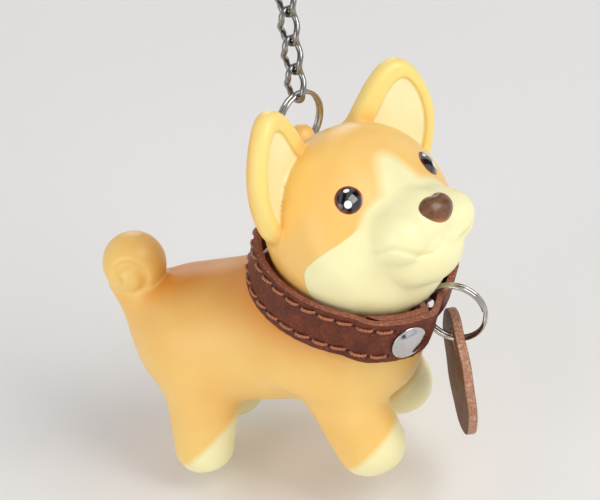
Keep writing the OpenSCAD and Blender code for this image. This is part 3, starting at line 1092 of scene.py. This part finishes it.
def makeStrap():
    s = strapShape
    half = halfStrapPlan()
    line = [(x, -y, a, t, True) for x, y, a, t in reversed(half)]
    line += [(x, y, a, t, False) for x, y, a, t in half[1:]]
    across = 26
    bm = bmesh.new()
    bmesh.ops.create_grid(bm, x_segments=len(line) - 1, y_segments=across, size=0.5)
    bm.verts.ensure_lookup_table()
    # sort the grid's points by column and row, then lay each column along the plan
    spots = sorted(bm.verts, key=lambda v: (round(v.co.x, 6), round(v.co.y, 6)))
    thickness = {}
    for i, (x, y, a, t, right) in enumerate(line):
        top, low = strapEdges(np.array(float(a)), right)
        for j in range(across + 1):
            vertex = spots[i * (across + 1) + j]
            z = float(low + (top - low) * j / across)
            vertex.co = (x, y, z)
            thickness[vertex] = t
    bmesh.ops.recalc_face_normals(bm, faces=bm.faces)
    bm.normal_update()
    back = min(bm.faces, key=lambda f: f.calc_center_median().x)
    if back.normal.x > 0:
        bmesh.ops.reverse_faces(bm, faces=bm.faces)
        bm.normal_update()
    middle = {v: v.co.copy() for v in bm.verts}
    normals = {v: v.normal.copy() for v in bm.verts}
    original = list(bm.verts)
    # wall: move out by half, then a second skin on the other side
    made = bmesh.ops.extrude_face_region(bm, geom=list(bm.faces))["geom"]
    lifted = [v for v in made if isinstance(v, bmesh.types.BMVert)]
    for vertex in original:
        vertex.co = middle[vertex] - normals[vertex] * s["thick"] / 2 * thickness[vertex]
    index = {tuple(round(c, 5) for c in middle[v]): v for v in original}
    for vertex in lifted:
        source = index[tuple(round(c, 5) for c in vertex.co)]
        vertex.co = middle[source] + normals[source] * s["thick"] / 2 * thickness[source]
    bmesh.ops.recalc_face_normals(bm, faces=bm.faces)
    bm.normal_update()
    for face in bm.faces:
        face.material_index = 1 if abs(face.normal.z) > 0.6 else 0
    ends = [e for e in bm.edges if len(e.link_faces) == 2 and e.calc_face_angle(0) > math.radians(50)]
    bmesh.ops.bevel(bm, geom=ends, offset=0.16, segments=2, profile=0.5, affect="EDGES", material=-1)
    for face in bm.faces:
        if abs(face.normal.z) < 0.35 and face.calc_center_median().xy.length < s["inside"] + 0.08:
            face.material_index = 1
    mesh = meshFrom(bm)
    where = points(mesh)
    radial = np.hypot(where[:, 0], where[:, 1])
    angle = np.degrees(np.arctan2(where[:, 1], where[:, 0])) % 360
    # pressed stitch lines on the outer face, and the distance to the nearest needle hole
    outside = np.array([outerRadius(a) for a in angle])
    onFace = ramp(outside - radial, 0.5, 0.1)
    rowGap = np.minimum(*[np.abs(where[:, 2] - z) for z in s["rows"]])
    within = ramp(np.minimum(angle, 360 - angle), s["stitchFrom"] - 3, s["stitchFrom"])
    press = 0.2 * np.exp(-((rowGap / 0.42) ** 2)) * onFace * within
    press = press + 0.05 * onFace * np.sin(angle * 0.9) * np.sin(where[:, 2] * 1.1 + angle * 0.31)
    scale = (1 - press / radial)[:, None]
    where[:, :2] *= scale
    setPoints(mesh, where)
    pitch = (360 - 2 * s["stitchFrom"]) / s["stitches"]
    away = np.abs((angle - s["stitchFrom"] + pitch / 2) % pitch - pitch / 2) * math.radians(16.2)
    hole = np.hypot(away, rowGap)
    # this distance sets the painted shade in the needle holes
    setValues(mesh, "hole", np.where((within > 0.5) & (onFace > 0.5), hole, 9))
    look = leatherLook
    face = leatherFace("strapLeather", look["face"], look["faceDark"], look["faceWorn"], True)
    cut = leatherCut("strapEdge", look["cut"], look["cutLight"], look["cutDark"])
    sharpen(mesh, 40)
    return putPiece(
        mesh, "collarStrap", neckFrame, "collar", [face, cut], ["collar_strap"]
    )


makeStrap()
print("strap done")


def makeStitches(name, cadName, height, material):
    # saddle stitches: two plies twisted round each other, dipping into the needle holes
    s = strapShape
    bm = bmesh.new()
    pitch = (360 - 2 * s["stitchFrom"]) / s["stitches"]
    for number in range(s["stitches"]):
        start = s["stitchFrom"] + number * pitch
        slant = 0.12 * math.sin(number * 2.4) + 0.16
        for ply in (0, math.pi):
            line = []
            for i in range(15):
                t = i / 14
                a = start + pitch * (0.07 + 0.86 * t)
                lift = 0.02 + 0.3 * math.sin(math.pi * t) ** 0.6 - 0.5 * (2 * t - 1) ** 8
                twist = ply + t * math.tau * 2.5 + number
                r = outerRadius(a) - 0.14 + lift + 0.125 * math.cos(twist)
                z = height + slant * (t - 0.5) * 2 + 0.125 * math.sin(twist)
                line.append((r * math.cos(math.radians(a)), r * math.sin(math.radians(a)), z))
            addWire(bm, line, 0.145, sides=6)
    mesh = meshFrom(bm)
    return putPiece(mesh, name, neckFrame, "collar", [material], [cadName])


def threadMaterial():
    material = newMaterial("waxedThread", Roughness=0.6, Sheen_Weight=0.2)
    fibre = noise(material, 5200, detail=4, roughness=0.7)
    colour = mixed(material, mapped(material, fibre, 0.35, 0.68), tone(150, 78, 42), tone(220, 142, 92))
    soiled = mapped(material, noise(material, 260), 0.45, 0.7, 0, 0.5)
    colour = mixed(material, soiled, colour, tone(120, 58, 30))
    return wear(material, colour, None, [(fibre, 0.00004)])


threadCord = threadMaterial()
makeStitches("upperStitches", "upper_stitching", strapShape["rows"][0], threadCord)
makeStitches("lowerStitches", "lower_stitching", strapShape["rows"][1], threadCord)
print("stitches done")


def makeRivets():
    s = strapShape
    profile = [(0, 1.3), (0.6, 1.27), (1.2, 1.17), (1.75, 0.99), (2.2, 0.74), (2.55, 0.48), (2.78, 0.3)]
    profile += [(2.86, 0.26), (2.98, 0.22), (3.04, 0.1), (3.0, -0.02), (2.85, -0.12), (0, -0.12)]
    bm = bmesh.new()
    for side in (-1, 1):
        knots = [bm.verts.new((r, 0, z)) for r, z in profile]
        line = [bm.edges.new(pair) for pair in zip(knots[:-1], knots[1:])]
        known = set(bm.verts) - set(knots)
        bmesh.ops.spin(
            bm, geom=[*knots, *line], cent=(0, 0, 0), axis=(0, 0, 1), angle=math.tau, steps=64,
            use_merge=True,
        )
        fresh = [v for v in bm.verts if v not in known]
        bmesh.ops.remove_doubles(bm, verts=fresh, dist=1e-4)
        fresh = [v for v in bm.verts if v not in known]
        seat = (
            turned(side * s["rivetAt"], "Z")
            @ moved(outerRadius(s["rivetAt"]), 0, -s["width"] / 2 - s["rivetDrop"])
            @ turned(90, "Y")
        )
        bmesh.ops.transform(bm, matrix=seat, verts=fresh)
    mesh = roundedMesh(meshFrom(bm))
    material = nickel("rivetNickel", wireLook["rivet"])
    return putPiece(mesh, "rivetCaps", neckFrame, "collar", [material], ["rivet_caps"])


def roundedMesh(mesh, levels=1):
    holder = linkObject("holder", mesh)
    smoother = holder.modifiers.new("round", "SUBSURF")
    smoother.levels = smoother.render_levels = levels
    made = bpy.data.meshes.new_from_object(holder.evaluated_get(bpy.context.evaluated_depsgraph_get()))
    bpy.data.objects.remove(holder)
    return made


makeRivets()
print("rivets done")


tagShape = dict(radius=10.2, thick=1.45, hole=1.8, drop=4, turn=25.5, hang=0.3)


def makeTag():
    s = tagShape
    bm = bmesh.new()
    sides = 120
    rim = bmesh.ops.create_circle(bm, segments=sides, radius=s["radius"])["verts"]
    centre = s["radius"] - s["drop"]
    bmesh.ops.translate(bm, vec=(0, -centre, 0), verts=rim)
    bmesh.ops.create_circle(bm, segments=sides, radius=s["hole"])
    bridge = bmesh.ops.bridge_loops(bm, edges=bm.edges)
    spokes = [e for e in bridge["edges"] if (e.verts[0] in rim) != (e.verts[1] in rim)]
    bmesh.ops.subdivide_edges(bm, edges=spokes, cuts=14, use_grid_fill=True)
    made = bmesh.ops.extrude_face_region(bm, geom=list(bm.faces))["geom"]
    bmesh.ops.translate(
        bm, vec=(0, 0, s["thick"]), verts=[v for v in made if isinstance(v, bmesh.types.BMVert)]
    )
    bmesh.ops.translate(bm, vec=(0, 0, -s["thick"] / 2), verts=bm.verts)
    bmesh.ops.recalc_face_normals(bm, faces=bm.faces)
    bm.normal_update()
    for face in bm.faces:
        face.material_index = 1 if abs(face.normal.z) < 0.5 else 0
    corners = [e for e in bm.edges if len(e.link_faces) == 2 and e.calc_face_angle(0) > 1]
    bmesh.ops.bevel(bm, geom=corners, offset=0.17, segments=3, profile=0.5, affect="EDGES", material=-1)
    mesh = meshFrom(bm)
    where = points(mesh)
    x, y = where[:, 0], where[:, 1] + centre
    where[:, 2] += 0.10 * np.sin(x * 0.3 + 0.6) * (y / s["radius"]) + 0.05 * np.sin(y * 0.7 + x * 0.4)
    setPoints(mesh, where)
    sharpen(mesh, 40)
    face = leatherFace("tagLeather", leatherLook["tagFace"], leatherLook["tagDark"], tone(150, 86, 46))
    cut = leatherCut("tagEdge", leatherLook["tagEdge"], tone(232, 196, 172), tone(150, 96, 66))
    pivot, _ = jointPlace("tag_swing")
    seat = (
        Matrix.Translation(pivot - Vector((0, 0, s["hang"])))
        @ turned(s["turn"], "Z")
        @ turned(90, "Z")
        @ turned(90, "X")
    )
    return putPiece(mesh, "leatherTag", seat, "leather_tag", [face, cut], ["leather_tag"])


makeTag()
print("tag done")

# The neck peg and the rivet posts keep their own shape and get a material.


def pegPlastic():
    material = newMaterial("pegPlastic", Roughness=0.5, Subsurface_Weight=0.1, Subsurface_Scale=0.001)
    cloud = noise(material, 500, detail=4)
    colour = mixed(material, mapped(material, cloud, 0.3, 0.7), tone(226, 218, 198), tone(240, 234, 218))
    return wear(material, colour, mapped(material, cloud, 0.3, 0.7, 0.42, 0.58), [(cloud, 0.00004)])


postNickel = nickel("postNickel", wireLook["rivet"])
for cadName, material in (("neck_peg", pegPlastic()), ("rivet_posts", postNickel)):
    carried = frame["nodes"][cadName]
    carried.data.materials.clear()
    carried.data.materials.append(material)
print("frame pieces done")


studio = dict(
    floorGap=4,  # below the lowest paw
    aim=(-0.9688, -3.8636, -81.0746),
    azimuth=20.92,
    elevation=33.09,
    roll=6.76,
    distance=450,
    lens=169.83,
)
lightPlan = [
    # name, direction (right, up, back) from the camera's side, distance, size, power, colour
    ("keyLight", (0.55, 0.5, 0.75), 0.55, 0.34, 1.6, (1, 0.985, 0.96)),
    ("fillLight", (-0.6, -0.25, 0.75), 0.6, 0.45, 1.2, (1, 0.99, 0.98)),
    ("backLight", (-0.2, 0.85, -0.7), 0.55, 0.30, 0.4, (1, 1, 1)),
]


def makeStudio():
    s = studio
    low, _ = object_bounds()
    bm = bmesh.new()
    bmesh.ops.create_grid(bm, x_segments=2, y_segments=2, size=3)
    bmesh.ops.translate(bm, vec=(0, 0, low.z - s["floorGap"] * mm), verts=bm.verts)
    floor = linkObject("floor", meshFrom(bm, normals=False))
    paper = newMaterial("paleFloor", Roughness=0.9)
    wear(paper, mixed(paper, noise(paper, 6, detail=2), tone(236, 233, 229), tone(243, 241, 238)))
    floor.data.materials.append(paper)

    azimuth, elevation, roll = (math.radians(s[k]) for k in ("azimuth", "elevation", "roll"))
    level = Vector((math.cos(azimuth), math.sin(azimuth), 0))
    forward = Vector((-math.sin(azimuth), math.cos(azimuth), 0))
    back = Vector((0, 0, math.sin(elevation))) - forward * math.cos(elevation)
    rise = back.cross(level)
    right = level * math.cos(roll) - rise * math.sin(roll)
    up = level * math.sin(roll) + rise * math.cos(roll)
    aim = Vector(s["aim"]) * mm
    lens = bpy.data.cameras.new("camera")
    lens.lens, lens.sensor_width = s["lens"], 36
    lens.clip_start, lens.clip_end = 0.02, 20
    camera = linkObject("camera", lens)
    camera.matrix_world = frameOf(aim + back * s["distance"] * mm, right, up, back)
    bpy.context.scene.camera = camera

    for name, way, distance, size, power, colour in lightPlan:
        lamp = bpy.data.lights.new(name, "AREA")
        lamp.size, lamp.energy, lamp.color = size, power, colour
        light = linkObject(name, lamp)
        direction = (right * way[0] + up * way[1] + back * way[2]).normalized()
        light.location = aim + direction * distance
        light.rotation_mode = "QUATERNION"
        light.rotation_quaternion = (-direction).to_track_quat("-Z", "Y")

    world = bpy.data.worlds.new("studio")
    bpy.context.scene.world = world
    world.use_nodes = True
    # broad bright and dark bands overhead and round the sides, for the metal to mirror
    background = world.node_tree.nodes["Background"]
    where = node(world, "TexCoord").outputs["Generated"]
    bands = node(world, "TexWave", {"Vector": where, "Scale": 0.55, "Distortion": 1.5}).outputs["Fac"]
    shade = mapped(world, bands, 0.35, 0.65, 0.1, 0.9)
    world.node_tree.links.new(shade, background.inputs["Strength"])
    background.inputs["Color"].default_value = (0.93, 0.95, 1, 1)
    bpy.context.scene.view_settings.view_transform = "Standard"


makeStudio()
print("studio done")
